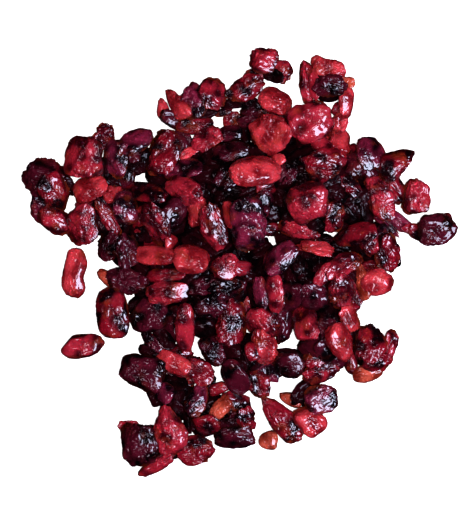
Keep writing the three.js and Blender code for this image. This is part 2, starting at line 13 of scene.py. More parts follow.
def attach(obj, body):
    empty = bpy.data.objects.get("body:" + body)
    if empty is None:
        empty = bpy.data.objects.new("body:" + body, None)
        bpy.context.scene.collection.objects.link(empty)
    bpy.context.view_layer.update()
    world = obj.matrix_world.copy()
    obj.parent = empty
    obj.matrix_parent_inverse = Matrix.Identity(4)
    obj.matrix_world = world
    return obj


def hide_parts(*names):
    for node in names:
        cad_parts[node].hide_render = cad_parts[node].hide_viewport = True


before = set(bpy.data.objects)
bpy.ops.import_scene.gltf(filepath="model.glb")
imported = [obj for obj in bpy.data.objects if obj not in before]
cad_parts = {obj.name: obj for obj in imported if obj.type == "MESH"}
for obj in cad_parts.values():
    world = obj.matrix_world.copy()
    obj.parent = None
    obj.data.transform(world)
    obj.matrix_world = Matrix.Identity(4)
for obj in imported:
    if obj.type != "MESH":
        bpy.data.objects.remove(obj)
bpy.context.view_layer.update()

# How the heap lies
# The berries were tipped out and left as they fell: the deeper ones first, then the
# ones that lean on them. Each is soft, so it beds a little into what is under it, and
# takes the slope that it finds there. Nothing but its own syrup holds it in place.

# Thickness as a share of a berry's width: swollen berries stay nearly round, wrinkled
# ones have collapsed, and empty skins are flat.
THICKNESS = {
    "plump": 0.82, "drop": 0.8, "wrinkled": 0.74, "tipped": 0.74, "blocky": 0.74, "folded": 0.72,
    "dimple": 0.74, "skin": 0.42, "bean": 0.8, "wedge": 0.62,
}
# On the table its own weight flattens a berry by this share of its half height.
FLOOR_FLAT = 0.14
# A berry comes down until this share of its underside is bedded. The underside is felt
# at its middle and on two rings: how far out they are and how many points they have.
BEDDED_SHARE = 0.45
FOOT_RINGS = ((0.45, 6), (0.8, 10))
STEEPEST = 0.5
LAYERS = 3

# Packed berries that can't be seen, as low mounds: x, y, radius in x and in y, height.
MOUNDS = [
    (-2, 24, 19.5, 17.5, 8.5), (24, 26, 15.5, 17, 8.5), (22, -4, 18.5, 11.5, 8), (-14, -4, 21, 12.5, 7.5),
    (-13, -17, 12, 8, 6), (1.5, -30.5, 7.2, 7, 5.5), (-19.8, -44.8, 6.2, 5.6, 4.5), (-9, -49.5, 6.5, 5.5, 4),
    (30, -23, 7.5, 10, 5), (-44, 17, 9.5, 8.5, 4.5), (-35, 35, 7, 5, 4), (-27, 16, 9, 10, 6),
    (-38, 3, 5, 5, 3.5), (38, 21, 8, 9, 5), (44, 7, 7, 7, 4.5), (40, 31, 5, 5.5, 3.5),
    (7, 50, 5.5, 4.5, 3.5), (15, 45, 5, 6.5, 5), (30.5, 57.5, 5, 3.8, 3), (44, -30, 5.5, 6, 3.5),
    (10, -14, 7, 8, 5), (22, -34.5, 5, 3.6, 3),
]

# Every berry that shows: x, y, length, width, turn of its long axis from +X in degrees,
# layer (0 lies lowest), the way it has dried and its tone.
LAY = [
    (-14.3, 53.6, 11.0, 10.0, 60, 1, "wrinkled", "plum"),
    (-8.9, 56.3, 11.2, 9.3, 100, 2, "wrinkled", "crimson"),
    (-20.4, 52.9, 12.0, 5.8, 305, 2, "drop", "scarlet"), (-25.2, 51.4, 7.4, 4.2, 280, 1, "drop", "scarlet"),
    (-22.0, 47.7, 9.0, 4.8, 150, 1, "folded", "ink"), (-14.5, 45.5, 12.0, 5.5, 0, 1, "wrinkled", "maroon"),
    (-10.5, 41.0, 10.5, 8.0, 20, 2, "folded", "crimson"), (-16.5, 36.3, 7.0, 4.0, 15, 2, "skin", "scarlet"),
    (-24.9, 36.3, 15.8, 10.0, 72, 2, "folded", "maroon"), (-34.3, 40.3, 12.2, 8.0, 28, 2, "plump", "plum"),
    (-34.0, 36.5, 7.5, 4.5, 60, 1, "folded", "ink"), (-2.0, 48.0, 6.0, 5.5, 0, 0, "skin", "maroon"),
    (-3.0, 43.0, 8.5, 5.5, 10, 0, "plump", "ink"), (-3.0, 36.5, 12.0, 6.0, 5, 1, "tipped", "ink"),
    (8.8, 67.5, 9.3, 8.6, 0, 1, "tipped", "crimson"), (15.0, 63.9, 7.0, 6.2, 70, 0, "wrinkled", "crimson"),
    (2.7, 58.2, 12.8, 8.0, 25, 1, "wrinkled", "maroon"), (12.6, 53.6, 11.2, 8.6, 155, 1, "plump", "scarlet"),
    (4.5, 51.8, 7.5, 4.5, 20, 1, "folded", "ink"), (5.0, 47.5, 11.0, 5.0, 15, 1, "folded", "ink"),
    (10.4, 43.0, 12.8, 12.2, 110, 2, "wrinkled", "scarlet"),
    (24.0, 46.2, 14.2, 13.4, 27, 2, "dimple", "crimson"), (26.5, 50.8, 8.6, 6.5, 150, 1, "folded", "maroon"),
    (23.2, 61.2, 13.6, 5.4, 95, 1, "folded", "crimson"), (25.5, 58.8, 9.0, 3.5, 95, 2, "skin", "crimson"),
    (30.3, 64.4, 12.0, 7.2, 165, 1, "wrinkled", "scarlet"), (31.0, 58.5, 11.0, 7.0, 0, 1, "wrinkled", "ink"),
    (36.5, 60.2, 5.5, 4.0, 0, 0, "skin", "amber"), (36.2, 53.2, 10.5, 5.2, 86, 1, "plump", "scarlet"),
    (34.0, 46.3, 7.6, 5.6, 80, 1, "wrinkled", "scarlet"),
    (33.9, 39.3, 10.5, 7.2, 92, 1, "wrinkled", "scarlet"),
    (28.5, 38.3, 9.0, 6.0, 150, 0, "plump", "crimson"), (44.0, 36.6, 11.0, 9.8, 95, 1, "tipped", "plum"),
    (53.0, 33.3, 14.0, 9.4, 213, 1, "drop", "maroon"), (28.5, 32.0, 14.5, 10.8, 12, 1, "folded", "maroon"),
    (39.5, 31.8, 9.0, 7.0, 90, 0, "folded", "ink"), (45.0, 29.2, 7.5, 4.2, 155, 1, "plump", "ink"),
    (47.8, 21.0, 15.5, 9.2, 118, 2, "tipped", "crimson"),
    (52.4, 25.0, 11.5, 6.4, 112, 0, "folded", "maroon"), (59.7, 22.0, 11.4, 8.8, 90, 1, "blocky", "crimson"),
    (66.1, 10.8, 12.8, 9.8, 12, 1, "wrinkled", "ink"), (54.3, 13.4, 10.5, 5.0, 145, 0, "folded", "plum"),
    (57.8, 11.3, 6.0, 3.2, 5, 0, "skin", "maroon"), (48.3, 10.0, 6.5, 4.0, 80, 1, "tipped", "plum"),
    (43.5, 5.8, 7.5, 6.2, 90, 1, "wrinkled", "crimson"), (49.7, 3.4, 12.2, 8.4, 100, 2, "folded", "maroon"),
    (37.3, 25.4, 9.5, 5.2, 140, 1, "wrinkled", "maroon"), (39.0, 9.0, 14.0, 7.0, 15, 1, "plump", "maroon"),
    (33.5, 21.8, 6.0, 4.5, 140, 0, "folded", "ink"), (31.8, 15.2, 9.6, 7.0, 85, 1, "wrinkled", "maroon"),
    (36.6, 15.5, 7.0, 4.0, 130, 0, "plump", "ink"), (23.0, 19.7, 13.4, 12.4, 20, 2, "plump", "crimson"),
    (19.8, 10.5, 13.5, 5.5, 165, 2, "folded", "crimson"),
    (25.6, 4.8, 11.5, 4.8, 170, 1, "folded", "scarlet"), (14.0, 1.5, 13.0, 8.2, 40, 2, "tipped", "plum"),
    (5.8, 29.9, 16.5, 9.8, 5, 2, "plump", "scarlet"), (-4.3, 27.5, 9.0, 7.5, 70, 1, "folded", "ink"),
    (13.3, 34.2, 5.0, 4.2, 0, 1, "plump", "scarlet"), (16.3, 29.3, 7.5, 6.2, 60, 1, "skin", "ink"),
    (9.0, 24.5, 7.0, 4.5, 10, 0, "folded", "crimson"), (8.4, 19.0, 10.0, 6.0, 75, 1, "plump", "ink"),
    (3.3, 12.0, 17.0, 11.5, 92, 2, "blocky", "plum"), (-3.0, 15.5, 9.0, 3.8, 100, 2, "plump", "scarlet"),
    (-66.6, 28.4, 12.2, 11.0, 45, 1, "wrinkled", "ink"),
    (-60.2, 29.2, 8.3, 6.4, 130, 0, "wrinkled", "maroon"),
    (-61.2, 23.0, 12.0, 9.0, 110, 2, "wrinkled", "maroon"),
    (-66.1, 18.9, 10.4, 6.7, 80, 1, "wrinkled", "plum"),
    (-61.4, 13.9, 11.4, 8.0, 145, 1, "plump", "crimson"),
    (-52.2, 12.6, 13.8, 10.6, 270, 1, "tipped", "crimson"),
    (-49.6, 24.6, 11.5, 8.4, 20, 2, "plump", "scarlet"),
    (-51.4, 35.1, 13.2, 12.6, 85, 1, "blocky", "crimson"), (-56.8, 25.4, 6.5, 4.4, 120, 0, "skin", "ink"),
    (-44.6, 42.0, 8.6, 6.2, 85, 1, "wrinkled", "crimson"), (-47.6, 41.2, 4.8, 3.4, 60, 0, "skin", "amber"),
    (-40.9, 34.4, 12.5, 8.2, 88, 2, "tipped", "plum"), (-36.8, 28.4, 8.0, 4.6, 60, 1, "folded", "ink"),
    (-41.7, 22.5, 7.0, 5.8, 20, 2, "wrinkled", "scarlet"), (-37.3, 17.8, 11.0, 8.3, 100, 2, "plump", "plum"),
    (-42.8, 14.0, 14.0, 5.2, 120, 1, "folded", "maroon"), (-43.2, 5.9, 9.4, 7.8, 100, 1, "wrinkled", "ink"),
    (-36.8, 3.5, 11.0, 7.2, 95, 1, "folded", "ink"), (-32.8, 14.5, 9.5, 4.2, 75, 0, "skin", "maroon"),
    (-30.8, 23.3, 14.5, 6.6, 168, 1, "plump", "maroon"),
    (-27.0, 12.7, 13.0, 8.2, 115, 2, "wrinkled", "crimson"),
    (-17.6, 23.7, 12.5, 8.8, 160, 1, "wrinkled", "crimson"),
    (-13.6, 16.3, 10.0, 5.8, 80, 1, "folded", "scarlet"),
    (-8.3, 11.0, 16.0, 8.2, 107, 2, "wrinkled", "crimson"),
    (-18.5, 31.0, 14.0, 7.0, 10, 0, "folded", "plum"), (-27.0, 27.3, 10.0, 5.0, 145, 0, "plump", "ink"),
    (-22.3, 6.6, 5.4, 4.4, 100, 2, "plump", "scarlet"), (-27.5, 2.2, 14.3, 6.4, 177, 2, "plump", "scarlet"),
    (-15.6, 0.8, 11.6, 9.4, 170, 2, "plump", "scarlet"), (-21.5, 16.0, 10.0, 7.5, 60, 0, "wrinkled", "ink"),
    (-51.3, 19.4, 6.5, 4.2, 20, 0, "folded", "crimson"), (-45.4, 30.8, 8.0, 5.0, 90, 0, "folded", "ink"),
    (-43.3, -5.8, 9.3, 4.2, 140, 1, "plump", "amber"), (-36.9, -6.3, 14.3, 8.4, 160, 1, "wrinkled", "ink"),
    (-42.0, -17.0, 16.7, 10.5, 98, 1, "plump", "maroon"), (-29.8, -17.4, 13.2, 11.8, 18, 1, "dimple", "ink"),
    (-23.7, -10.3, 13.8, 8.0, 8, 2, "tipped", "crimson"), (-24.0, -4.5, 13.0, 5.2, 8, 0, "folded", "maroon"),
    (-17.6, -22.0, 16.6, 6.5, 88, 2, "plump", "crimson"), (-3.8, -1.7, 9.0, 8.2, 30, 1, "tipped", "crimson"),
    (1.5, -2.0, 6.5, 5.2, 0, 2, "plump", "crimson"), (-2.8, -8.6, 12.5, 7.2, 15, 1, "wrinkled", "ink"),
    (-11.3, -8.0, 11.0, 6.5, 10, 0, "folded", "ink"), (-2.1, -20.6, 15.5, 10.0, 88, 2, "wrinkled", "maroon"),
    (8.1, -20.6, 12.0, 9.6, 140, 1, "plump", "crimson"),
    (9.2, -28.8, 13.5, 7.4, 108, 2, "wrinkled", "scarlet"),
    (5.2, -29.6, 6.5, 5.8, 100, 0, "plump", "maroon"), (-8.3, -28.7, 12.0, 7.5, 130, 1, "wrinkled", "ink"),
    (7.7, -10.3, 10.8, 5.2, 102, 1, "tipped", "plum"), (12.3, -10.5, 12.3, 6.0, 98, 1, "plump", "crimson"),
    (-9.0, -14.3, 10.5, 7.5, 20, 0, "wrinkled", "ink"), (-22.0, -20.5, 12.0, 6.5, 95, 0, "folded", "ink"),
    (-26.8, -27.0, 9.0, 6.5, 150, 0, "wrinkled", "ink"), (16.8, -34.6, 10.0, 8.4, 168, 1, "tipped", "ink"),
    (17.4, -31.2, 9.5, 4.2, 175, 0, "folded", "ink"), (10.8, -36.9, 8.0, 5.4, 150, 1, "folded", "plum"),
    (7.0, -40.6, 10.4, 7.6, 130, 0, "folded", "maroon"), (-1.0, -38.4, 12.3, 8.0, 120, 0, "plump", "ink"),
    (-13.4, -36.0, 10.5, 8.4, 135, 1, "wrinkled", "maroon"),
    (-21.5, -33.6, 11.5, 6.6, 155, 1, "plump", "scarlet"),
    (-31.8, -37.0, 15.0, 11.4, 165, 1, "blocky", "ink"), (-24.4, -43.6, 6.8, 6.0, 60, 1, "plump", "plum"),
    (-27.7, -44.4, 8.6, 5.0, 120, 0, "wrinkled", "ink"), (-13.5, -46.4, 11.0, 6.8, 68, 1, "tipped", "plum"),
    (-6.5, -42.3, 7.0, 4.2, 20, 0, "plump", "maroon"), (-5.7, -48.6, 9.6, 5.4, 48, 2, "plump", "amber"),
    (-0.5, -47.8, 11.6, 8.0, 150, 1, "wrinkled", "maroon"), (-1.6, -53.8, 10.4, 6.0, 20, 1, "folded", "ink"),
    (2.7, -52.6, 8.2, 6.2, 110, 1, "wrinkled", "maroon"), (-0.8, -58.5, 13.2, 7.4, 5, 1, "tipped", "ink"),
    (-11.0, -54.6, 9.4, 7.4, 10, 0, "plump", "maroon"),
    (-14.3, -62.8, 11.6, 9.8, 20, 1, "wrinkled", "maroon"),
    (-22.8, -56.0, 16.6, 10.8, 282, 2, "drop", "crimson"), (-20.8, -49.6, 8.0, 5.4, 125, 0, "folded", "ink"),
    (-33.1, -60.7, 14.0, 11.6, 100, 1, "wrinkled", "ink"), (-28.2, -59.5, 9.5, 5.4, 105, 0, "plump", "ink"),
    (-36.8, -55.5, 6.8, 4.6, 5, 0, "skin", "crimson"), (-23.8, -64.2, 11.0, 5.4, 8, 0, "folded", "ink"),
    (-27.6, -68.2, 13.4, 4.8, 33, 0, "wrinkled", "crimson"),
    (14.6, -52.7, 18.4, 8.2, 313, 1, "drop", "maroon"), (23.7, -53.1, 11.6, 8.6, 145, 1, "plump", "scarlet"),
    (27.8, -45.9, 10.9, 9.3, 5, 1, "tipped", "plum"), (17.8, -46.0, 8.0, 4.4, 152, 0, "plump", "amber"),
    (21.4, -43.2, 9.5, 5.4, 40, 0, "folded", "ink"), (27.6, -37.2, 12.5, 6.6, 15, 1, "wrinkled", "crimson"),
    (25.7, -32.3, 7.4, 6.0, 10, 0, "wrinkled", "maroon"),
    (33.8, -26.4, 12.8, 8.6, 112, 2, "plump", "scarlet"),
    (37.6, -32.4, 10.6, 4.6, 98, 0, "plump", "crimson"),
    (37.3, -19.0, 9.0, 5.8, 115, 1, "folded", "scarlet"),
    (44.4, -27.0, 11.0, 10.2, 60, 1, "wrinkled", "maroon"),
    (50.6, -29.0, 13.0, 5.0, 73, 1, "folded", "crimson"), (45.9, -33.0, 9.5, 6.2, 20, 2, "folded", "maroon"),
    (43.4, -37.4, 9.8, 6.0, 10, 0, "plump", "amber"), (22.4, -20.4, 12.0, 8.2, 100, 1, "plump", "crimson"),
    (34.6, -10.2, 11.8, 9.4, 98, 2, "wrinkled", "crimson"),
    (28.4, -4.6, 10.0, 5.6, 50, 1, "plump", "crimson"), (35.3, -0.6, 13.5, 7.2, 25, 2, "folded", "crimson"),
    (41.6, -6.6, 12.4, 4.2, 103, 2, "plump", "amber"), (46.7, -6.5, 10.8, 9.6, 172, 0, "drop", "scarlet"),
    (24.0, -11.5, 12.0, 8.0, 165, 0, "wrinkled", "ink"), (19.3, 0.0, 9.0, 5.0, 110, 0, "folded", "ink"),
    (15.4, -21.2, 12.8, 6.4, 75, 0, "folded", "ink"), (17.2, -11.0, 9.0, 7.5, 80, 0, "wrinkled", "ink"),
    (24.2, -27.4, 8.2, 7.4, 60, 0, "wrinkled", "ink"), (29.2, -22.6, 9.6, 7.0, 100, 0, "folded", "ink"),
    (47.9, -35.5, 3.4, 2.9, 20, 0, "plump", "maroon"), (33.4, -32.4, 8.0, 6.0, 60, 0, "wrinkled", "ink"),
    (29.4, -29.0, 8.5, 6.4, 120, 0, "folded", "ink"), (37.8, -15.0, 6.0, 4.8, 30, 0, "folded", "maroon"),
    (-28.8, -30.4, 9.4, 5.0, 150, 0, "folded", "ink"), (-21.0, -40.6, 9.0, 5.0, 170, 0, "folded", "ink"),
    (6.4, 62.7, 9.4, 5.4, 20, 0, "skin", "maroon"), (11.8, 62.4, 7.4, 4.6, 150, 0, "skin", "ink"),
    (60.4, 9.8, 6.6, 4.8, 150, 0, "skin", "maroon"), (38.4, 36.4, 6.4, 5.4, 60, 0, "folded", "maroon"),
    (-18.3, 39.8, 9.5, 6.0, 110, 0, "folded", "ink"), (-12.5, 49.6, 11.0, 3.6, 3, 0, "folded", "ink"),
    (-5.2, 50.4, 6.0, 3.0, 15, 0, "folded", "maroon"), (-41.8, 27.0, 7.0, 4.4, 150, 0, "folded", "ink"),
    (-33.2, 8.3, 7.5, 4.6, 130, 0, "folded", "ink"), (-15.2, 10.0, 7.6, 4.8, 160, 0, "folded", "ink"),
    (29.3, 7.8, 7.0, 3.6, 170, 0, "folded", "ink"), (44.3, -1.0, 6.0, 4.0, 10, 0, "folded", "maroon"),
    (50.0, 12.4, 11.0, 3.6, 137, 0, "folded", "plum"), (40.3, -11.2, 6.0, 4.4, 100, 0, "folded", "crimson"),
    (-19.2, -29.6, 7.6, 4.2, 10, 0, "folded", "maroon"),
    (-20.0, -37.4, 13.0, 3.8, 152, 0, "folded", "maroon"), (-16.3, -53.6, 7.0, 4.0, 95, 0, "folded", "ink"),
    (-24.4, -51.2, 6.0, 4.0, 100, 0, "folded", "crimson"),
    (-30.2, -24.8, 5.0, 4.0, 120, 0, "folded", "plum"), (2.8, 42.4, 6.4, 3.8, 90, 0, "folded", "ink"),
    (1.6, -15.4, 7.6, 5.0, 60, 0, "folded", "plum"), (7.2, 3.8, 8.6, 5.0, 40, 0, "folded", "ink"),
    (11.2, 10.8, 6.4, 4.6, 20, 0, "folded", "maroon"), (-24.6, -25.0, 9.5, 4.6, 130, 0, "folded", "ink"),
    (-9.5, -31.2, 8.5, 4.2, 128, 0, "folded", "ink"), (-10.0, -40.4, 6.0, 3.8, 20, 0, "folded", "ink"),
    (0.8, 53.5, 12.6, 3.4, 5, 0, "folded", "ink"), (33.2, 51.4, 5.0, 3.2, 70, 0, "folded", "maroon"),
    (34.2, 5.2, 7.0, 4.0, 165, 0, "folded", "ink"), (19.5, 7.3, 6.0, 3.2, 170, 0, "folded", "ink"),
    (38.8, -24.4, 6.0, 4.0, 80, 0, "folded", "ink"), (30.3, 42.6, 4.6, 3.4, 90, 0, "folded", "scarlet"),
    (-28.0, 6.0, 7.0, 4.0, 175, 0, "folded", "maroon"), (-32.4, -10.8, 4.6, 3.0, 20, 0, "folded", "ink"),
    (35.0, 12.0, 5.0, 4.0, 0, 0, "folded", "ink"), (-17.2, -31.3, 4.5, 3.2, 0, 0, "folded", "crimson"),
    (22.4, -47.2, 4.2, 3.2, 90, 0, "folded", "ink"), (-35.0, -14.3, 6.0, 3.6, 60, 0, "plump", "ink"),
]


def berry_of(number, row):
    """A berry by its number and its row, lying level until it is settled. The letters
    u and v are places along it and across it, and a, b and c its half sizes."""
    x, y, length, width, turn, layer, kind, tone = row
    half_height = width * THICKNESS[kind] / 2
    return SimpleNamespace(
        number=number, layer=layer, kind=kind, tone=tone,
        x=x, y=y, z=half_height * (1 - FLOOR_FLAT),
        a=length / 2, b=width / 2, c=half_height,
        cos=math.cos(math.radians(turn)), sin=math.sin(math.radians(turn)),
        slope_u=0.0, slope_v=0.0,
    )


def mound_top(x, y):
    """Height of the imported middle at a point."""
    top = 0.0
    for mid_x, mid_y, reach_x, reach_y, height in MOUNDS:
        share = ((x - mid_x) / reach_x) ** 2 + ((y - mid_y) / reach_y) ** 2
        if share < 1:
            top = max(top, height * math.sqrt(1 - share))
    return top


def top_at(x, y, placed):
    """Height of what already lies at a point, the table included."""
    top = mound_top(x, y)
    for b in placed:
        u = (x - b.x) * b.cos + (y - b.y) * b.sin
        v = (y - b.y) * b.cos - (x - b.x) * b.sin
        share = (u / b.a) ** 2 + (v / b.b) ** 2
        if share < 1:
            top = max(top, b.z + b.slope_u * u + b.slope_v * v + b.c * math.sqrt(1 - share))
    return top


def no_steeper(slope):
    return max(-STEEPEST, min(STEEPEST, slope))


def settle(b, placed):
    """Lets a berry down over its place until it is bedded on what is under it."""
    feet = [(0.0, 0.0, 1.0)]
    for reach, count in FOOT_RINGS:
        rise = math.sqrt(1 - reach ** 2)
        for i in range(count):
            angle = 2 * math.pi * i / count
            feet.append((b.a * reach * math.cos(angle), b.b * reach * math.sin(angle), rise))
    ground = [top_at(b.x + u * b.cos - v * b.sin, b.y + u * b.sin + v * b.cos, placed) for u, v, _ in feet]
    b.slope_u = no_steeper(sum(u * g for (u, _, _), g in zip(feet, ground)) / sum(u * u for u, _, _ in feet))
    b.slope_v = no_steeper(sum(v * g for (_, v, _), g in zip(feet, ground)) / sum(v * v for _, v, _ in feet))
    stops = [g - b.slope_u * u - b.slope_v * v + b.c * rise for (u, v, rise), g in zip(feet, ground)]
    stops.sort(reverse=True)
    reach_down = math.hypot(b.c, b.a * b.slope_u, b.b * b.slope_v)
    b.z = max(stops[int(BEDDED_SHARE * len(stops))], reach_down - FLOOR_FLAT * b.c)


heap_berries = [berry_of(number, row) for number, row in enumerate(LAY)]
laid = []
for layer in range(LAYERS):
    for one in heap_berries:
        if one.layer == layer:
            settle(one, laid)
            laid.append(one)

# The imported middle and the berries buried in it
# Under the berries that show, the heap is packed fruit too, seen only as dark shapes in
# the gaps: a low lumpy core, and small berries half sunk in it, painted near black as the
# shade they lie in. Every berry was a ball of soft flesh that shrank as it dried in syrup,
# and its skin creased to fit.
MM = 0.001
TABLE_GAP = 0.03
# The way each kind has dried. Lumps, dents and flats are shares of the berry; the net
# of fine ridges and the wrinkles have a height, and the wrinkles a spacing, in
# millimetres; and a higher power is a squarer berry.
DRYING = {
    "plump": dict(lump=0.06, flats=1, dents=0, dent=0.08, net=0.12, wrinkle=0.36, spacing=1.6, power=2.3),
    "drop": dict(lump=0.07, flats=2, dents=1, dent=0.06, net=0.20, wrinkle=0.50, spacing=1.6, power=2.2),
    "wrinkled": dict(lump=0.12, flats=3, dents=2, dent=0.14, net=0.55, wrinkle=0.85, spacing=1.6, power=2.4),
    "tipped": dict(lump=0.10, flats=3, dents=1, dent=0.05, net=0.40, wrinkle=0.55, spacing=1.5, power=2.4),
    "blocky": dict(lump=0.08, flats=2, dents=1, dent=0.07, net=0.40, wrinkle=0.60, spacing=1.6, power=3.1),
    "folded": dict(lump=0.13, flats=3, dents=1, dent=0.12, net=0.40, wrinkle=0.70, spacing=1.6, power=2.4),
    "dimple": dict(lump=0.07, flats=1, dents=0, dent=0.06, net=0.18, wrinkle=0.45, spacing=1.5, power=2.3),
    "skin": dict(lump=0.14, flats=1, dents=2, dent=0.12, net=0.30, wrinkle=0.45, spacing=1.6, power=2.2),
    "bean": dict(lump=0.04, flats=1, dents=1, dent=0.06, net=0.15, wrinkle=0.40, spacing=1.6, power=2.3),
    "wedge": dict(lump=0.06, flats=1, dents=2, dent=0.10, net=0.20, wrinkle=0.40, spacing=1.6, power=2.3),
}
# How much one berry differs from the next of its kind.
SPREAD = SimpleNamespace(
    power=(-0.3, 0.4), lump=(0.7, 1.3), net=(0.7, 1.2), wrinkle=(0.75, 1.2), spacing=(0.85, 1.2),
    taper=0.12, pale=0.2,
)
# The noise is read from another place for each berry, at most this far off.
NOISE_REACH = 90
# A berry that is under this half width, in millimetres, has lower wrinkles.
FULL_WRINKLE_WIDTH = 4.2
FULL_TURN = 6.3
# A flat is where a neighbour pressed, mostly from the side. It stops the skin at a share
# of the radius, and presses in most of what would be past that.
FLAT = SimpleNamespace(stop=(0.72, 0.94), press=0.85, level=0.6, lift=0.15)
# The flat of a tipped berry meets the light: which way it faces, east, north and up.
TIPPED_WAY = (0.35, -0.14, 0.93)
TIPPED_STOP = 0.76
# Dents are painted with shade in their hollows; the last value is how dark.
DENT = SimpleNamespace(width=(0.08, 0.3), depth=(0.5, 1.3), painted_shade=0.2)
BIG_LUMPS = SimpleNamespace(depth=1.6, count=1.2)
SMALL_LUMPS = SimpleNamespace(depth=1.1, count=2.7)
# A fold is a crease that winds along the top, painted with shade; its lip is the half width of the crease.
FOLD = SimpleNamespace(
    depth=0.46, run=0.9, lip=0.2, wave=2.6, sway=0.3, slant=0.7, aside=0.35, middle=0.4, painted_shade=0.9,
)
DIMPLE = SimpleNamespace(depth=0.5, place=-0.45, reach=0.24)
DROP_TAPER = 0.42
DROP_RISE = 0.5
# An empty skin turns up at its edge, in three waves.
SKIN = SimpleNamespace(curl=0.45, wave=0.3, waves=3, level=0.5)
BEAN_WAIST = SimpleNamespace(depth=0.34, place=-0.18, reach=0.3)
WEDGE = SimpleNamespace(cut_side=0.5, taper=0.3)


def bump(distance):
    return math.exp(-(distance ** 2))


def valley(distance, width):
    """A crease's depth across it: sharp at the bottom, with rounded lips."""
    return math.exp(-abs(distance) / width)


def ramp(value, ends):
    """0 at the first end and 1 at the second, straight between them."""
    return max(0.0, min(1.0, (ends[0] - value) / (ends[0] - ends[1])))


def direction(draw):
    return Vector((draw.gauss(0, 1), draw.gauss(0, 1), draw.gauss(0, 1))).normalized()


def sideways(way):
    """A direction turned towards the berry's sides, where its neighbours pressed on it."""
    return Vector((way.x, way.y, FLAT.level * way.z + FLAT.lift)).normalized()


def either_way(draw, most):
    return draw.uniform(-most, most)


def habit_of(b):
    """What is particular to one berry, drawn by its number."""
    draw = random.Random(b.number)
    way = DRYING[b.kind]
    flats = [(sideways(direction(draw)), draw.uniform(*FLAT.stop)) for _ in range(way["flats"])]
    if b.kind == "tipped":
        east, north, up = TIPPED_WAY
        facing = Vector((
            (east * b.cos + north * b.sin + b.slope_u * up) * b.a,
            (north * b.cos - east * b.sin + b.slope_v * up) * b.b,
            up * b.c,
        ))
        flats[0] = (facing.normalized(), TIPPED_STOP)
    return SimpleNamespace(
        size=min(1.0, b.b / FULL_WRINKLE_WIDTH),
        power=way["power"] + draw.uniform(*SPREAD.power),
        lump=way["lump"] * draw.uniform(*SPREAD.lump),
        drift=Vector([either_way(draw, NOISE_REACH) for _ in range(3)]),
        flats=flats,
        dents=[(direction(draw), draw.uniform(*DENT.width), way["dent"] * draw.uniform(*DENT.depth))
               for _ in range(way["dents"])],
        sway=either_way(draw, FOLD.sway),
        bend=draw.uniform(0, FULL_TURN),
        slant=either_way(draw, FOLD.slant),
        aside=either_way(draw, FOLD.aside),
        middle=either_way(draw, FOLD.middle),
        taper=either_way(draw, SPREAD.taper),
        net=way["net"] * draw.uniform(*SPREAD.net),
        wrinkle=way["wrinkle"] * draw.uniform(*SPREAD.wrinkle),
        spacing=way["spacing"] * draw.uniform(*SPREAD.spacing),
        pale=either_way(draw, SPREAD.pale),
        widest=(1.0, 1.0),
    )


def body_of(way, b, habit):
    """The berry's form without its wrinkles, on a ball of radius 1, and the painted shade in its hollows."""
    power = habit.power
    reach = (abs(way.x) ** power + abs(way.y) ** power + abs(way.z) ** power) ** (-1 / power)
    reach *= 1 + BIG_LUMPS.depth * habit.lump * noise.noise(way * BIG_LUMPS.count + habit.drift)
    reach *= 1 + SMALL_LUMPS.depth * habit.lump * noise.noise(way * SMALL_LUMPS.count - habit.drift)
    point = way * reach
    for facing, stop in habit.flats:
        over = point.dot(facing) - stop
        if over > 0:
            point -= facing * (FLAT.press * over)
    sunk = 0.0
    for facing, width, depth in habit.dents:
        near = bump((1 - way.dot(facing)) / width)
        point *= 1 - depth * near
        # The dent's hollow is painted with shade.
        sunk = max(sunk, DENT.painted_shade * near)
    point.y *= 1 + habit.taper * point.x
    point.z *= 1 + habit.taper * point.x
    x, y = point.x, point.y
    upper = max(point.z, 0.0)
    if b.kind == "folded":
        along = x * math.cos(habit.slant) + y * math.sin(habit.slant)
        across = y * math.cos(habit.slant) - x * math.sin(habit.slant) - habit.aside
        cut = valley(across - habit.sway * math.sin(FOLD.wave * along + habit.bend), FOLD.lip)
        cut *= max(0.0, 1 - (along - habit.middle) ** 2 / FOLD.run)
        point.z -= FOLD.depth * upper * cut
        # The fold's crease is painted with shade.
        sunk = max(sunk, FOLD.painted_shade * cut * cut * (upper > 0))
    if b.kind == "dimple":
        inside = bump(math.hypot(x - DIMPLE.place, y) / DIMPLE.reach)
        point.z -= DIMPLE.depth * upper * inside
        # The dimple's hollow is painted with shade.
        sunk = max(sunk, inside)
    if b.kind == "drop":
        point.y *= 1 + DROP_TAPER * x
        point.z *= 1 + DROP_RISE * DROP_TAPER * x
    if b.kind == "skin":
        curl = SKIN.curl + SKIN.wave * math.sin(SKIN.waves * math.atan2(y, x) + habit.bend)
        point.z += curl * (x * x + y * y - SKIN.level)
    if b.kind == "bean" and y < 0:
        point.y *= 1 - BEAN_WAIST.depth * bump((x - BEAN_WAIST.place) / BEAN_WAIST.reach)
    if b.kind == "wedge":
        point.y *= (WEDGE.cut_side if y < 0 else 1) * (1 + WEDGE.taper * x)
    return point, sunk


# The wrinkles run more along a berry than across it, and wander by a share of their
# spacing. Their noise is taken times a gain, so that it reaches its full height.
LENGTHWISE = 0.7
WARP = SimpleNamespace(share=0.9, scale=0.6, seed=3)
NOISE_GAIN = 2.4
COARSE_LEVEL = 0.6
FINE = SimpleNamespace(share=0.45, times=2.2, level=0.5)
NET = SimpleNamespace(spacing=3.0, edge=0.16, level=0.45)
# Some of a berry has shrunk more than the rest, and is more wrinkled for it.
SHRUNK = SimpleNamespace(middle=0.5, swing=1.2, scale=0.16, least=0.3)
# A wrinkle is painted with shade below this level, and more so where the skin is more wrinkled.
CREASE_SHADE = SimpleNamespace(level=0.3, gain=2)
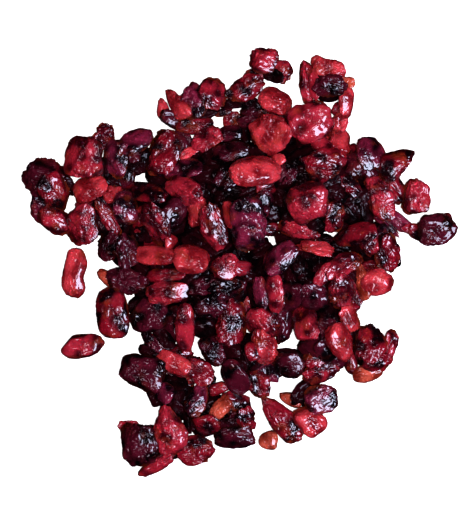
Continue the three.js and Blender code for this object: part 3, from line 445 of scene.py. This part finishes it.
# How pale the skin is: in patches, which is its tone, and darker from the shoulder down to the side, which is
# painted shade.
PALE_AND_SIDE_SHADE = SimpleNamespace(middle=0.58, swing=1.9, scale=0.23, side=0.8, side_shade_ends=(0.85, 0.0))
# Without a seed of its own, the wandering of the wrinkles differs from run to run.
noise.seed_set(WARP.seed)


def dry(way, b, habit):
    """Where the dried skin is in one direction from the berry's middle, in millimetres
    along its length, across it and up, with its painted crease shade and how pale it is."""
    point, sunk = body_of(way, b, habit)
    outward = Vector((point.x / b.a, point.y / b.b, point.z / b.c)).normalized()
    point = Vector((point.x * b.a * habit.widest[0], point.y * b.b * habit.widest[1], point.z * b.c))
    spot = Vector((point.x * LENGTHWISE, point.y, point.z)) / habit.spacing + habit.drift
    spot += noise.noise_vector(spot * WARP.scale) * WARP.share
    coarse = min(1.0, NOISE_GAIN * abs(noise.noise(spot)))
    fine = min(1.0, NOISE_GAIN * abs(noise.noise(spot * FINE.times)))
    gaps = noise.voronoi(spot * (habit.spacing / NET.spacing))[0]
    ridge = valley(gaps[1] - gaps[0], NET.edge)
    shrunk = SHRUNK.middle + SHRUNK.swing * noise.noise(point * SHRUNK.scale - habit.drift)
    shrunk = max(SHRUNK.least, min(1.0, shrunk))
    wrinkle = coarse - COARSE_LEVEL + FINE.share * (fine - FINE.level)
    height = habit.net * (ridge - NET.level) + habit.wrinkle * wrinkle
    point += outward * (habit.size * shrunk * height)
    # The wrinkles' creases are painted with shade.
    sunk = max(sunk, (1 - coarse / CREASE_SHADE.level) * shrunk * min(1.0, habit.wrinkle * CREASE_SHADE.gain))
    pale = PALE_AND_SIDE_SHADE.middle + habit.pale + PALE_AND_SIDE_SHADE.swing * noise.noise(point * PALE_AND_SIDE_SHADE.scale + habit.drift)
    # Painted shade from the shoulder down to the side.
    pale -= PALE_AND_SIDE_SHADE.side * ramp(outward.z, PALE_AND_SIDE_SHADE.side_shade_ends)
    return point, max(0.0, sunk), max(0.0, min(1.0, pale))


# A ball's mesh is drawn up towards its top by this factor.
CROWDING = 0.65
# A berry's body is measured round its middle in steps, and grown a little, because the
# wrinkles bring it in again.
STEPS_PER_RADIAN = 9
GROWTH = 1.05
# The amber rim is painted glow, for light shining through a berry's thin sides: it is at its sides, and only
# where they lie low.
RIM_GLOW_TILT = (0.45, -0.05)
RIM_GLOW_HEIGHT = (7.0, 4.0)


def crowded(way):
    """A direction moved up towards the top of the ball, where the skin shows and needs
    the finer mesh. It is a circle-keeping map, so no face is stretched."""
    from_top = math.sqrt((1 - way.z) / max(1 + way.z, 1e-9)) * CROWDING
    across = math.hypot(way.x, way.y)
    rise = (1 - from_top ** 2) / (1 + from_top ** 2)
    if across < 1e-6:
        return Vector((0, 0, math.copysign(1, way.z)))
    share = math.sqrt(max(0.0, 1 - rise * rise)) / across
    return Vector((way.x * share, way.y * share, rise))


def widest_of(b, habit):
    """How far a berry's body is stretched along and across, to be as long and as wide
    as it was read from the photograph."""
    turns = [step / STEPS_PER_RADIAN for step in range(int(2 * math.pi * STEPS_PER_RADIAN) + 1)]
    around = [body_of(Vector((math.cos(turn), math.sin(turn), 0)), b, habit)[0] for turn in turns]
    return (
        2 * GROWTH / (max(p.x for p in around) - min(p.x for p in around)),
        2 * GROWTH / (max(p.y for p in around) - min(p.y for p in around)),
    )


def add_berry(mesh, b, fineness):
    """One dried berry, as a ball moved to where its skin is."""
    habit = habit_of(b)
    habit.widest = widest_of(b, habit)
    crease = mesh.verts.layers.float["crease"]
    pale = mesh.verts.layers.float["pale"]
    rim_glow = mesh.verts.layers.float["rim_glow"]
    for corner in bmesh.ops.create_icosphere(mesh, subdivisions=fineness, radius=1.0)["verts"]:
        way = crowded(corner.co.normalized())
        # The crease value is painted shade; the pale value is the skin's tone, with painted shade down its
        # sides.
        point, corner[crease], corner[pale] = dry(way, b, habit)
        up = b.z + point.z + b.slope_u * point.x + b.slope_v * point.y
        # The rim value is painted amber glow.
        corner[rim_glow] = ramp(way.z, RIM_GLOW_TILT) * ramp(up, RIM_GLOW_HEIGHT)
        corner.co = MM * Vector((
            b.x + point.x * b.cos - point.y * b.sin,
            b.y + point.x * b.sin + point.y * b.cos,
            max(up, TABLE_GAP),
        ))


def fruit_mesh():
    """An empty mesh with the values that the skin's material reads."""
    made = bmesh.new()
    for value in ("crease", "pale", "rim_glow"):
        made.verts.layers.float.new(value)
    return made


def piece_of(name, made):
    """A finished mesh as a piece with a smooth skin."""
    for face in made.faces:
        face.smooth = True
    mesh = bpy.data.meshes.new(name)
    made.to_mesh(mesh)
    made.free()
    piece = bpy.data.objects.new(name, mesh)
    bpy.context.scene.collection.objects.link(piece)
    return piece


# A berry over the lowest layer has the finer mesh, if half its length times half its
# width is more than this.
LARGE_BERRY = 11
FINE_MESH = 5
PLAIN_MESH = 4


def fineness_of(b):
    return FINE_MESH if b.layer > 0 and b.a * b.b > LARGE_BERRY else PLAIN_MESH


def berries_mesh(name, berries, fineness=fineness_of):
    """Like berries as one piece."""
    made = fruit_mesh()
    for b in berries:
        add_berry(made, b, fineness(b))
    return piece_of(name, made)


# The core's lumps have this height and spacing in millimetres. All of it is dark, with the near-black painted
# shade of the gaps.
CORE_LUMP = 0.9
CORE_LUMP_SPACING = 5.0
CORE_PALE = 0.3


def core_mesh():
    """The mounds as one piece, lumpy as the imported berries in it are."""
    made = fruit_mesh()
    pale = made.verts.layers.float["pale"]
    for mid_x, mid_y, reach_x, reach_y, height in MOUNDS:
        for corner in bmesh.ops.create_icosphere(made, subdivisions=PLAIN_MESH, radius=1.0)["verts"]:
            way = corner.co.normalized()
            point = Vector((mid_x + way.x * reach_x, mid_y + way.y * reach_y, max(way.z, 0.0) * height))
            lump = noise.noise(point / CORE_LUMP_SPACING)
            point.z = max(point.z + CORE_LUMP * lump * max(way.z, 0.0), TABLE_GAP)
            corner.co = MM * point
            corner[pale] = CORE_PALE
    return piece_of("packed_core", made)


# The buried berries lie on a jittered grid over the core, where it is deep enough. The
# middle of each is under the core's top by a share of its half height.
BURIED = SimpleNamespace(
    seed=7, first=1000, steps=range(-9, 10), spacing=6.6, row_share=0.87, jitter=1.6, least_depth=2.6,
    length=(8.0, 11.5), width=(5.0, 7.0), kinds=("wrinkled", "folded", "plump"), sunk=0.35, nudge=0.5,
)


def slope_of_core(x, y):
    """How steep the core is at a point, towards +X and towards +Y."""
    step = BURIED.nudge
    lean_x = (mound_top(x + step, y) - mound_top(x - step, y)) / (2 * step)
    lean_y = (mound_top(x, y + step) - mound_top(x, y - step)) / (2 * step)
    return lean_x, lean_y


def buried_berries():
    draw = random.Random(BURIED.seed)
    found = []
    for row in BURIED.steps:
        for column in BURIED.steps:
            x = BURIED.spacing * (column + 0.5 * (row % 2)) + either_way(draw, BURIED.jitter)
            y = BURIED.spacing * BURIED.row_share * row + either_way(draw, BURIED.jitter)
            length, width = draw.uniform(*BURIED.length), draw.uniform(*BURIED.width)
            turn, kind = draw.uniform(0, 180), draw.choice(BURIED.kinds)
            top = mound_top(x, y)
            if top < BURIED.least_depth:
                continue
            b = berry_of(BURIED.first + len(found), (x, y, length, width, turn, 0, kind, "ink"))
            lean_x, lean_y = slope_of_core(x, y)
            b.slope_u = no_steeper(lean_x * b.cos + lean_y * b.sin)
            b.slope_v = no_steeper(lean_y * b.cos - lean_x * b.sin)
            b.z = top - BURIED.sunk * b.c
            found.append(b)
    return found


# The skin's patterns, in patches to the metre. Mottling moves the tone by a gain and an
# offset. Skin is thin and amber in some patches, and its rim is painted with amber glow.
# Syrup lies in smoother and duller patches, and each pucker is painted as shade in its
# hollow and as light on its top.
MOTTLE = SimpleNamespace(scale=420, detail=3, gain=1.3, offset=-0.65)
THIN = SimpleNamespace(scale=210, detail=2, ends=(0.57, 0.71), share=(0.0, 0.55), rim_glow=0.7)
SYRUP = SimpleNamespace(scale=300, detail=2, ends=(0.35, 0.7), roughness=(0.22, 0.42))
PUCKER = SimpleNamespace(scale=1100, detail=3, ends=(0.2, 1.6), shade=(0.25, 1.45), strength=0.8)
# Amber for thin patches and for the painted rim glow, and black for the painted crease shade.
AMBER_AND_RIM_GLOW = (0.400, 0.055, 0.016, 1)
CREASE_SHADE_BLACK = (0.010, 0.002, 0.004, 1)


def skin_group():
    """Shader group for dried, sugared fruit skin: its colour, mottled between a deep and
    a pale tone, amber in thin patches, with painted glow at the rim, painted shade in the
    creases and painted shade and light on the puckers; its gloss; and the finest puckers
    as a height."""
    group = bpy.data.node_groups.new("dried_skin", "ShaderNodeTree")
    for name, kind, way in (
        ("Deep", "Color", "INPUT"), ("Pale", "Color", "INPUT"), ("Crease Shade Strength", "Float", "INPUT"),
        ("Thin Patches And Rim Glow", "Float", "INPUT"), ("Color", "Color", "OUTPUT"), ("Roughness", "Float", "OUTPUT"),
        ("Height", "Float", "OUTPUT"),
    ):
        group.interface.new_socket(name, in_out=way, socket_type="NodeSocket" + kind)
    nodes, links = group.nodes, group.links
    given = nodes.new("NodeGroupInput").outputs
    out = nodes.new("NodeGroupOutput").inputs
    on_piece = nodes.new("ShaderNodeTexCoord").outputs["Object"]

    def held(name):
        """A value that the mesh holds for each of its corners."""
        found = nodes.new("ShaderNodeAttribute")
        found.attribute_name = name
        return found.outputs["Fac"]

    def patches(pattern, kind="FBM"):
        found = nodes.new("ShaderNodeTexNoise")
        found.noise_type = kind
        found.inputs["Scale"].default_value = pattern.scale
        found.inputs["Detail"].default_value = pattern.detail
        links.new(on_piece, found.inputs["Vector"])
        return found.outputs["Fac"]

    def spread(value, from_ends, to_ends):
        found = nodes.new("ShaderNodeMapRange")
        found.inputs["From Min"].default_value, found.inputs["From Max"].default_value = from_ends
        found.inputs["To Min"].default_value, found.inputs["To Max"].default_value = to_ends
        links.new(value, found.inputs["Value"])
        return found.outputs["Result"]

    def combined(operation, values, clamp=False):
        found = nodes.new("ShaderNodeMath")
        found.operation = operation
        found.use_clamp = clamp
        for socket, value in zip(found.inputs, values):
            if isinstance(value, float):
                socket.default_value = value
            else:
                links.new(value, socket)
        return found.outputs[0]

    def mixed(share, under):
        found = nodes.new("ShaderNodeMix")
        found.data_type = "RGBA"
        links.new(share, found.inputs["Factor"])
        links.new(under, found.inputs["A"])
        return found

    mottle = combined("MULTIPLY_ADD", (patches(MOTTLE), MOTTLE.gain, MOTTLE.offset))
    tone = combined("ADD", (held("pale"), mottle), clamp=True)
    skin = mixed(tone, given["Deep"])
    links.new(given["Pale"], skin.inputs["B"])

    # Amber in thin patches, and painted amber glow at the rim.
    thin = spread(patches(THIN), THIN.ends, THIN.share)
    rim_glow_and_thin = combined("MULTIPLY_ADD", (held("rim_glow"), THIN.rim_glow, thin), clamp=True)
    amber_and_rim_glowed = mixed(combined("MULTIPLY", (rim_glow_and_thin, given["Thin Patches And Rim Glow"])), skin.outputs["Result"])
    amber_and_rim_glowed.inputs["B"].default_value = AMBER_AND_RIM_GLOW
    # Painted shade in the creases.
    crease_shading = combined("MULTIPLY", (held("crease"), given["Crease Shade Strength"]), clamp=True)
    creased = mixed(crease_shading, amber_and_rim_glowed.outputs["Result"])
    creased.inputs["B"].default_value = CREASE_SHADE_BLACK

    puckers = patches(PUCKER, "RIDGED_MULTIFRACTAL")
    # Painted shade in the puckers' hollows and painted light on their tops.
    pucker_shaded = nodes.new("ShaderNodeVectorMath")
    pucker_shaded.operation = "SCALE"
    links.new(creased.outputs["Result"], pucker_shaded.inputs[0])
    links.new(spread(puckers, PUCKER.ends, PUCKER.shade), pucker_shaded.inputs["Scale"])
    links.new(pucker_shaded.outputs["Vector"], out["Color"])
    links.new(spread(patches(SYRUP), SYRUP.ends, SYRUP.roughness), out["Roughness"])
    links.new(puckers, out["Height"])
    return group


dried_skin = skin_group()


def fruit(name, deep, pale, crease_dark=0.8, thin=1.0, glow=0.25, relief=0.00042, syrup=1.0, sheen=0.14):
    """Sticky, syrup-coated fruit skin: deep and pale are its two tones, the crease darkness
    is how dark its painted crease shade is, thin is how much amber shows in thin patches
    and as painted glow at the rim, glow is how much light goes into it and comes out
    again, relief is the height of its puckers in metres, and syrup is its coat."""
    made = bpy.data.materials.new(name)
    made.use_nodes = True
    nodes, links = made.node_tree.nodes, made.node_tree.links
    shader = nodes["Principled BSDF"]
    skin = nodes.new("ShaderNodeGroup")
    skin.node_tree = dried_skin
    skin.inputs["Deep"].default_value = (*deep, 1)
    skin.inputs["Pale"].default_value = (*pale, 1)
    skin.inputs["Crease Shade Strength"].default_value = crease_dark
    skin.inputs["Thin Patches And Rim Glow"].default_value = thin
    links.new(skin.outputs["Color"], shader.inputs["Base Color"])
    links.new(skin.outputs["Roughness"], shader.inputs["Roughness"])
    puckers = nodes.new("ShaderNodeBump")
    puckers.inputs["Distance"].default_value = relief
    puckers.inputs["Strength"].default_value = PUCKER.strength
    links.new(skin.outputs["Height"], puckers.inputs["Height"])
    links.new(puckers.outputs["Normal"], shader.inputs["Normal"])
    shader.inputs["Subsurface Weight"].default_value = glow
    shader.inputs["Subsurface Radius"].default_value = (1.0, 0.16, 0.10)
    shader.inputs["Subsurface Scale"].default_value = 0.0012
    shader.inputs["Specular IOR Level"].default_value = sheen
    shader.inputs["Coat Weight"].default_value = syrup
    shader.inputs["Coat Roughness"].default_value = 0.03
    shader.inputs["IOR"].default_value = 1.47
    return made


def place(piece, material, node):
    piece.data.materials.append(material)
    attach(piece, "root")
    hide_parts(node)


# Near-black painted shade for the packed fruit in the gaps.
gap_shade_fruit = fruit(
    "gap_shade_fruit", deep=(0.004, 0.001, 0.002), pale=(0.040, 0.003, 0.008), thin=0.0, glow=0.0,
    relief=0.00030, syrup=0.25, sheen=0.03,
)
place(core_mesh(), gap_shade_fruit, "heap")
buried = berries_mesh("buried_berries", buried_berries(), lambda b: PLAIN_MESH)
place(buried, gap_shade_fruit, "heap")

# The small dark berries at the bottom
# Small dark fruit that lies on the table and in the gaps, in the shade of what is over it.
# It has the same material as the buried berries: painted shade, all but black, with little gloss.
SMALL_WIDTH = 5.5


def in_the_shade(b):
    return b.tone == "ink" and b.layer == 0 and 2 * b.b < SMALL_WIDTH


shaded = [b for b in heap_berries if in_the_shade(b)]
place(berries_mesh("shaded_berries", shaded), gap_shade_fruit, "heap")

# The darkest berries
# The ripest fruit, dried longest: nearly black, with dark red where the flesh is still
# thick; low berries in the gaps also take this tone, as painted shade. The skin has
# shrunk hard onto the flesh, and the syrup on it shines.
ink_fruit = fruit(
    "ink_fruit", deep=(0.004, 0.001, 0.003), pale=(0.132, 0.010, 0.029), thin=0.3, glow=0.0,
    syrup=0.8, sheen=0.06,
)


def of_tone(tone):
    return [b for b in heap_berries if b.tone == tone and not in_the_shade(b)]


place(berries_mesh("ink_berries", of_tone("ink")), ink_fruit, "heap")

# Purple berries
# Ripe fruit whose skin has kept its blue cast and dried a little cloudy with sugar. It
# lies loose among the rest, stuck to its neighbours only by the syrup.
plum_fruit = fruit("plum_fruit", deep=(0.012, 0.002, 0.007), pale=(0.330, 0.027, 0.080), glow=0.06)
place(berries_mesh("plum_berries", of_tone("plum")), plum_fruit, "heap")

# Maroon berries
# Ripe red fruit with the skin still whole, darkened by drying: red on the shoulders, with
# painted shade, nearly black, at the sides and in the creases.
maroon_fruit = fruit("maroon_fruit", deep=(0.014, 0.001, 0.005), pale=(0.400, 0.013, 0.035), glow=0.08)
place(berries_mesh("maroon_berries", of_tone("maroon")), maroon_fruit, "heap")

# Crimson berries
# Fruit cut before it was sugared, so that the syrup has soaked in and light goes into
# it. The skin is red, and the flesh under it glows a little.
crimson_fruit = fruit("crimson_fruit", deep=(0.075, 0.002, 0.010), pale=(0.670, 0.037, 0.074), glow=0.14)
place(berries_mesh("crimson_berries", of_tone("crimson")), crimson_fruit, "heap")

# Scarlet berries
# The brightest fruit, picked less ripe. It is swollen with syrup and clear enough for
# light to shine through, so the painted shade in its creases is lighter.
scarlet_fruit = fruit(
    "scarlet_fruit", deep=(0.350, 0.015, 0.027), pale=(1.000, 0.085, 0.115), glow=0.2, crease_dark=0.6,
)
place(berries_mesh("scarlet_berries", of_tone("scarlet")), scarlet_fruit, "heap")

# Amber skins
# Small pale fruit and skins with little flesh in them, which dry to an orange brown.
# They are loose scraps that lie on the berries beside them.
amber_fruit = fruit("amber_fruit", deep=(0.320, 0.034, 0.020), pale=(0.980, 0.175, 0.110), thin=0.3, glow=0.2)
place(berries_mesh("amber_skins", of_tone("amber")), amber_fruit, "heap")

# The kidney-shaped berry at the left
# A whole bright red berry that dried bent, so that it has a waist on one side. It lies
# by itself on the table.
BEAN = (-54.5, -3.6, 16.0, 8.2, 90, 0, "bean", "scarlet")
BEAN_NUMBER = 601
place(berries_mesh("bean", [berry_of(BEAN_NUMBER, BEAN)]), scarlet_fruit, "bean_berry")

# The oval berry at the lower left
# A whole plump crimson berry lying on its side on the table, its skin nearly smooth and
# tight with syrup.
OVAL = (-51.9, -28.1, 14.4, 7.8, 9, 0, "plump", "crimson")
OVAL_NUMBER = 602
place(berries_mesh("oval", [berry_of(OVAL_NUMBER, OVAL)]), crimson_fruit, "oval_berry")

# The broken piece at the bottom
# A scrap of a berry with one straight cut side, dried to orange brown. It lies flat on
# the table.
SCRAP = (11.2, -59.8, 6.4, 6.3, 104, 0, "wedge", "amber")
SCRAP_NUMBER = 603
place(berries_mesh("scrap", [berry_of(SCRAP_NUMBER, SCRAP)]), amber_fruit, "broken_piece")

# The table, the light and the camera
# A plain near-white table under a camera that looks straight down. The soft light over
# it doesn't shine in the gloss: a cool window on the right and five small pinkish
# lamps all round give each berry its hard highlights.
TABLE_SIDE = 4.0
made = bmesh.new()
bmesh.ops.create_grid(made, x_segments=1, y_segments=1, size=TABLE_SIDE / 2)
table = piece_of("table", made)
table_top = bpy.data.materials.new("table_top")
table_top.use_nodes = True
table_paint = table_top.node_tree.nodes["Principled BSDF"]
table_paint.inputs["Base Color"].default_value = (0.45, 0.45, 0.46, 1)
table_paint.inputs["Roughness"].default_value = 0.9
table_paint.inputs["Emission Color"].default_value = (1, 1, 1, 1)
table_paint.inputs["Emission Strength"].default_value = 0.62
table.visible_diffuse = False
table.visible_glossy = False
table.data.materials.append(table_top)


def area_light(name, spot, size, power, colour, shines=True):
    """A square lamp that faces the heap."""
    light = bpy.data.lights.new(name, "AREA")
    light.size = size
    light.energy = power
    light.color = colour
    lamp = bpy.data.objects.new(name, light)
    lamp.location = spot
    lamp.rotation_euler = (-Vector(spot)).to_track_quat("-Z", "Y").to_euler()
    lamp.visible_glossy = shines
    bpy.context.scene.collection.objects.link(lamp)


# Each small lamp: its angle round the heap from +X, its angle above the table, in
# radians, and its power. All hang at the same distance.
LAMPS = [(0.5, 1.15, 0.28), (2.1, 0.95, 0.28), (3.6, 1.05, 0.26), (4.7, 0.90, 0.36), (5.9, 1.25, 0.26)]
LAMP_REACH = 0.60
LAMP_SIZE = 0.10
COOL = (0.72, 0.76, 1.0)
WARM = (1.0, 0.97, 0.95)
PINKISH = (1.0, 0.80, 0.95)
area_light("window", spot=(0.40, -0.16, 0.44), size=0.30, power=5.2, colour=COOL)
area_light("overhead_soft", spot=(0.12, 0.0, 0.80), size=0.30, power=12.0, colour=WARM, shines=False)
for number, (side, rise, power) in enumerate(LAMPS):
    spot = (
        LAMP_REACH * math.cos(side) * math.cos(rise),
        LAMP_REACH * math.sin(side) * math.cos(rise),
        LAMP_REACH * math.sin(rise),
    )
    area_light(f"lamp_{number}", spot, LAMP_SIZE, power, PINKISH)
world = bpy.data.worlds.new("studio")
bpy.context.scene.world = world
world.use_nodes = True
world.node_tree.nodes["Background"].inputs["Color"].default_value = (0.92, 0.95, 1.0, 1)
world.node_tree.nodes["Background"].inputs["Strength"].default_value = 0.02
world.cycles_visibility.glossy = False

# The photograph's long side takes in this many metres, at this height over the table.
PHOTO_SIDE = 0.1747
SCALE_HEIGHT = 0.005
LENS = 100
SENSOR = 36
camera_data = bpy.data.cameras.new("camera")
camera_data.lens = LENS
camera_data.sensor_width = SENSOR
camera = bpy.data.objects.new("camera", camera_data)
camera.location = (0, 0, SCALE_HEIGHT + PHOTO_SIDE * LENS / SENSOR)
bpy.context.scene.collection.objects.link(camera)
bpy.context.scene.camera = camera
bpy.context.scene.view_settings.view_transform = "Standard"
bpy.context.scene.view_settings.look = "Medium High Contrast"
